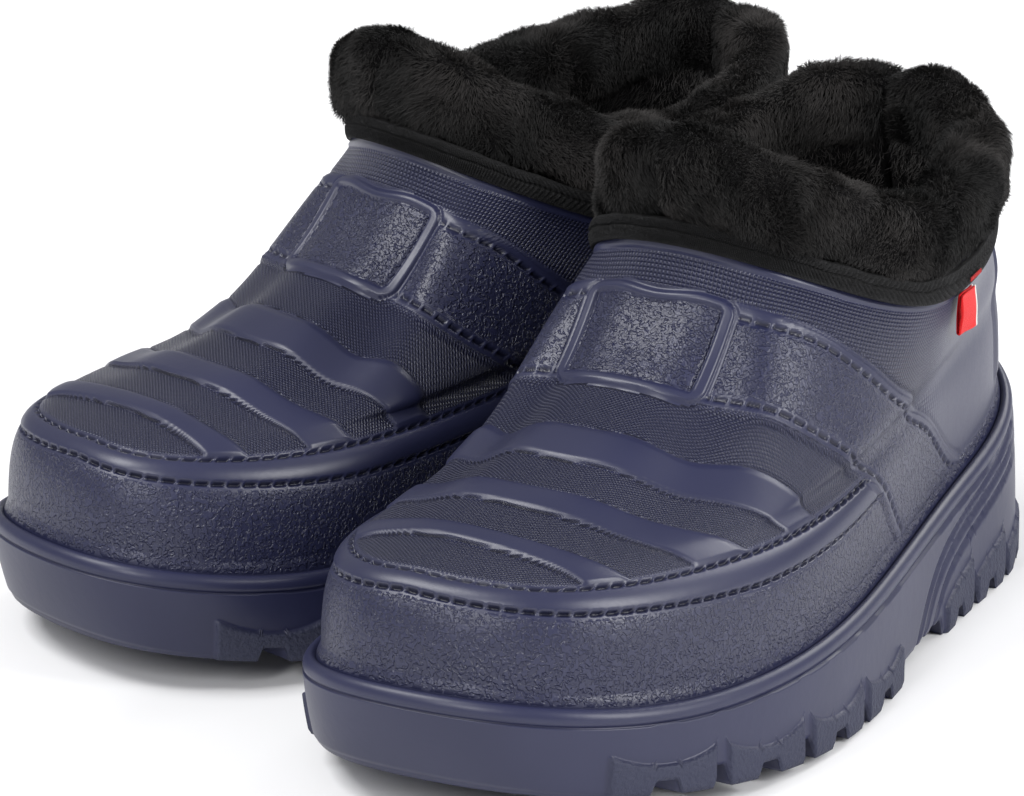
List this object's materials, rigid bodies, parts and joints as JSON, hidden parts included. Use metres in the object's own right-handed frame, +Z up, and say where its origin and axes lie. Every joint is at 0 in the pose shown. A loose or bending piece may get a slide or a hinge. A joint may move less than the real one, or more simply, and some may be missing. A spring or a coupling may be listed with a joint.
{
  "type": "pair of deck boots",
  "caption": "Pair of low slip-on moulded foam deck boots with lugged soles, grained toe bumpers, instep ribs, side bands, woven-texture quarters, plush liners with rolled cuffs and side tags.",
  "frame": {"origin": "on the ground, under the middle of the pair's bounding box", "axes": "+Z up; toes point towards -Y, each turned out 8.5 degrees; the left boot is on +X and the right boot on -X, a little further back"},
  "size_m": [0.2632, 0.324, 0.1576],
  "materials": {
    "foam": "semi-matte moulded EVA foam, navy, part smooth, part grained and part woven in texture",
    "plush": "short dense artificial fur, charcoal black",
    "felt": "needled felt, dark grey",
    "braid": "twill braid, matt black",
    "ribbon": "woven satin ribbon, red",
    "thread": "sewing thread, dark red"
  },
  "bodies": {
    "left_boot": {"left_shell": "foam", "left_liner_lateral": "plush", "left_liner_medial": "plush", "left_liner_sole": "plush", "left_insole": "felt", "left_cuff_lateral": "plush", "left_cuff_medial": "plush", "left_collar_binding": "braid", "left_tag_bartack": "thread"},
    "right_boot": {"right_shell": "foam", "right_liner_lateral": "plush", "right_liner_medial": "plush", "right_liner_sole": "plush", "right_insole": "felt", "right_cuff_lateral": "plush", "right_cuff_medial": "plush", "right_collar_binding": "braid", "right_tag_bartack": "thread"},
    "left_tag_leaf": {"left_tag": "ribbon"},
    "right_tag_leaf": {"right_tag": "ribbon"}
  },
  "joints": [
    {"name": "right_boot_lift", "type": "slide", "parent": "left_boot", "child": "right_boot", "axis": [0, 0, 1], "range_m": [0, 0.2]},
    {"name": "left_tag_flap", "type": "hinge", "parent": "left_boot", "child": "left_tag_leaf", "pos_m": [0.09835, 0.05872, 0.0978], "axis": [0.2336, -0.9679, -0.0924], "range_deg": [0, 100]},
    {"name": "right_tag_flap", "type": "hinge", "parent": "right_boot", "child": "right_tag_leaf", "pos_m": [-0.09835, 0.08472, 0.0978], "axis": [0.2336, 0.9679, 0.0924], "range_deg": [0, 100]}
  ]
}
